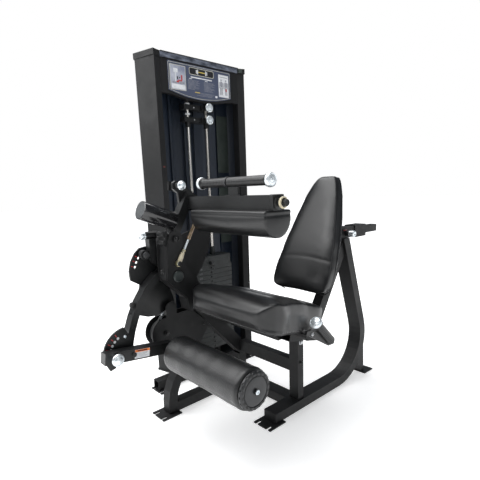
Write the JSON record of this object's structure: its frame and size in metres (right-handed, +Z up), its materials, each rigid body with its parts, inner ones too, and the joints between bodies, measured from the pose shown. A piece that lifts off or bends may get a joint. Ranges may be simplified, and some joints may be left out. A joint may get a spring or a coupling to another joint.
{
  "type": "leg extension machine",
  "caption": "Seated leg extension and curl machine with a weight tower, padded seat, sliding backrest, thigh hold-down and foam roller on a pivoting lever.",
  "frame": {"origin": "on the floor below the middle of the bounding box", "axes": "+X to the user's left, away from the weight tower; +Y to the user's back, the user faces -Y; +Z up"},
  "size_m": [1.025, 1.417, 1.653],
  "materials": {
    "frame_paint": "satin",
    "vinyl_pad": "satin",
    "pad_board": "matte",
    "grip": "matte",
    "black_plastic": "satin",
    "belt": "matte",
    "chrome": "polished",
    "bright_steel": "satin",
    "zinc": "satin",
    "gloss_black": "gloss",
    "plate_iron": "satin",
    "placard": "satin",
    "shroud": "satin"
  },
  "bodies": {
    "frame": {"base_seat_side": "frame_paint", "seat_post": "frame_paint", "seat_beam": "frame_paint", "seat_bracket_front": "frame_paint", "seat_bracket_rear": "frame_paint", "back_strut": "frame_paint", "back_sleeve": "frame_paint", "seat_rail": "frame_paint", "cross_tube_raised": "frame_paint", "cross_tube_ground": "frame_paint", "cross_tube_tower": "frame_paint", "base_drive_side": "frame_paint", "diagonal_tube": "frame_paint", "side_rail": "frame_paint", "mid_post": "frame_paint", "frame_spacer": "frame_paint", "pulley_guard_near": "frame_paint", "pulley_guard_far": "frame_paint", "drive_belt": "belt", "housing_near": "frame_paint", "housing_far": "frame_paint", "seat_pad": "vinyl_pad", "seat_board": "pad_board", "seat_handle_left": "grip", "seat_handle_right": "grip", "tower_base": "frame_paint", "tower_column_front": "frame_paint", "tower_column_rear": "frame_paint", "tower_cap": "frame_paint", "tower_header": "frame_paint", "placard": "placard", "rear_shroud": "shroud", "guide_rod_front": "chrome", "guide_rod_rear": "chrome", "stack_lower": "plate_iron"},
    "drive_cam": {"cam": "frame_paint"},
    "lever": {"lever": "frame_paint"},
    "start_pin": {"start_pin": "black_plastic"},
    "ankle_arm": {"ankle_arm": "frame_paint"},
    "ankle_pin": {"ankle_pin": "chrome"},
    "roller": {"ankle_roller": "vinyl_pad", "roller_cap": "black_plastic"},
    "drive_pulley": {"drive_pulley": "black_plastic"},
    "thigh_hold": {"thigh_arm": "frame_paint", "counterweight": "gloss_black", "thigh_pad": "vinyl_pad", "thigh_handlebar": "grip"},
    "thigh_pin": {"thigh_pin": "chrome"},
    "strut_rod": {"strut_rod": "zinc"},
    "strut_body": {"strut_body": "bright_steel"},
    "backrest": {"back_slide": "frame_paint", "back_pad": "vinyl_pad", "back_board": "pad_board"},
    "back_pin": {"back_pin": "chrome"},
    "lifted_stack": {"stack_top_plate": "plate_iron", "stack_plate_1": "plate_iron"},
    "selector_pin": {"selector_pin": "bright_steel"},
    "add_on_lower": {"add_on_lower": "plate_iron"},
    "add_on_upper": {"add_on_upper": "plate_iron"}
  },
  "joints": [
    {"name": "cam_turn", "type": "hinge", "parent": "frame", "child": "drive_cam", "pos_m": [-0.0385, -0.37254, 0.667], "axis": [1, 0, 0], "range_deg": [-80, 0]},
    {"name": "lever_start", "type": "hinge", "parent": "drive_cam", "child": "lever", "pos_m": [-0.0385, -0.37254, 0.667], "axis": [1, 0, 0], "range_deg": [0, 17.2]},
    {"name": "start_pin_pull", "type": "slide", "parent": "lever", "child": "start_pin", "axis": [1, 0, 0], "range_m": [0, 0.011], "stiffness_N_per_m": 800, "springref_m": -0.015},
    {"name": "ankle_set", "type": "hinge", "parent": "lever", "child": "ankle_arm", "pos_m": [-0.0685, -0.58854, 0.384], "axis": [1, 0, 0], "range_deg": [-52, 0]},
    {"name": "ankle_pin_pull", "type": "slide", "parent": "ankle_arm", "child": "ankle_pin", "axis": [1, 0, 0], "range_m": [0, 0.013], "stiffness_N_per_m": 800, "springref_m": -0.015},
    {"name": "roller_spin", "type": "hinge", "parent": "ankle_arm", "child": "roller", "pos_m": [0.2615, -0.42898, 0.36239], "axis": [1, 0, 0], "continuous": true},
    {"name": "pulley_turn", "type": "hinge", "parent": "frame", "child": "drive_pulley", "pos_m": [-0.0385, -0.39154, 0.399], "axis": [1, 0, 0], "range_deg": [-290, 0]},
    {"name": "thigh_set", "type": "hinge", "parent": "frame", "child": "thigh_hold", "pos_m": [-0.0385, -0.37354, 0.822], "axis": [1, 0, 0], "range_deg": [-30, 0]},
    {"name": "thigh_pin_pull", "type": "slide", "parent": "thigh_hold", "child": "thigh_pin", "axis": [1, 0, 0], "range_m": [0, 0.015], "stiffness_N_per_m": 800, "springref_m": -0.015},
    {"name": "strut_swing", "type": "hinge", "parent": "frame", "child": "strut_rod", "pos_m": [-0.0385, -0.37154, 0.721], "axis": [1, 0, 0], "range_deg": [-19.5, 0]},
    {"name": "strut_slide", "type": "slide", "parent": "strut_rod", "child": "strut_body", "axis": [0, 0.5033, 0.8641], "range_m": [-0.035, 0]},
    {"name": "backrest_slide", "type": "slide", "parent": "frame", "child": "backrest", "axis": [0, 1, 0], "range_m": [-0.1, 0.075]},
    {"name": "back_pin_pull", "type": "slide", "parent": "frame", "child": "back_pin", "axis": [1, 0, 0], "range_m": [0, 0.012], "stiffness_N_per_m": 800, "springref_m": -0.015},
    {"name": "stack_lift", "type": "slide", "parent": "frame", "child": "lifted_stack", "axis": [0, 0, 1], "range_m": [0, 0.28]},
    {"name": "selector_pull", "type": "slide", "parent": "lifted_stack", "child": "selector_pin", "axis": [1, 0, 0], "range_m": [0, 0.08]},
    {"name": "add_on_lower_slide", "type": "slide", "parent": "frame", "child": "add_on_lower", "axis": [0, 0, 1], "range_m": [-0.335, 0]},
    {"name": "add_on_upper_slide", "type": "slide", "parent": "frame", "child": "add_on_upper", "axis": [0, 0, 1], "range_m": [-0.335, 0]}
  ],
  "couplings": [
    {"joint": "pulley_turn", "follows": "cam_turn", "ratio": 3.6},
    {"joint": "stack_lift", "follows": "cam_turn", "m_per_rad": -0.2},
    {"joint": "strut_swing", "follows": "thigh_set", "ratio": 0.637},
    {"joint": "strut_slide", "follows": "thigh_set", "m_per_rad": 0.0657},
    {"joint": "add_on_upper_slide", "follows": "add_on_lower_slide", "ratio": 1}
  ]
}
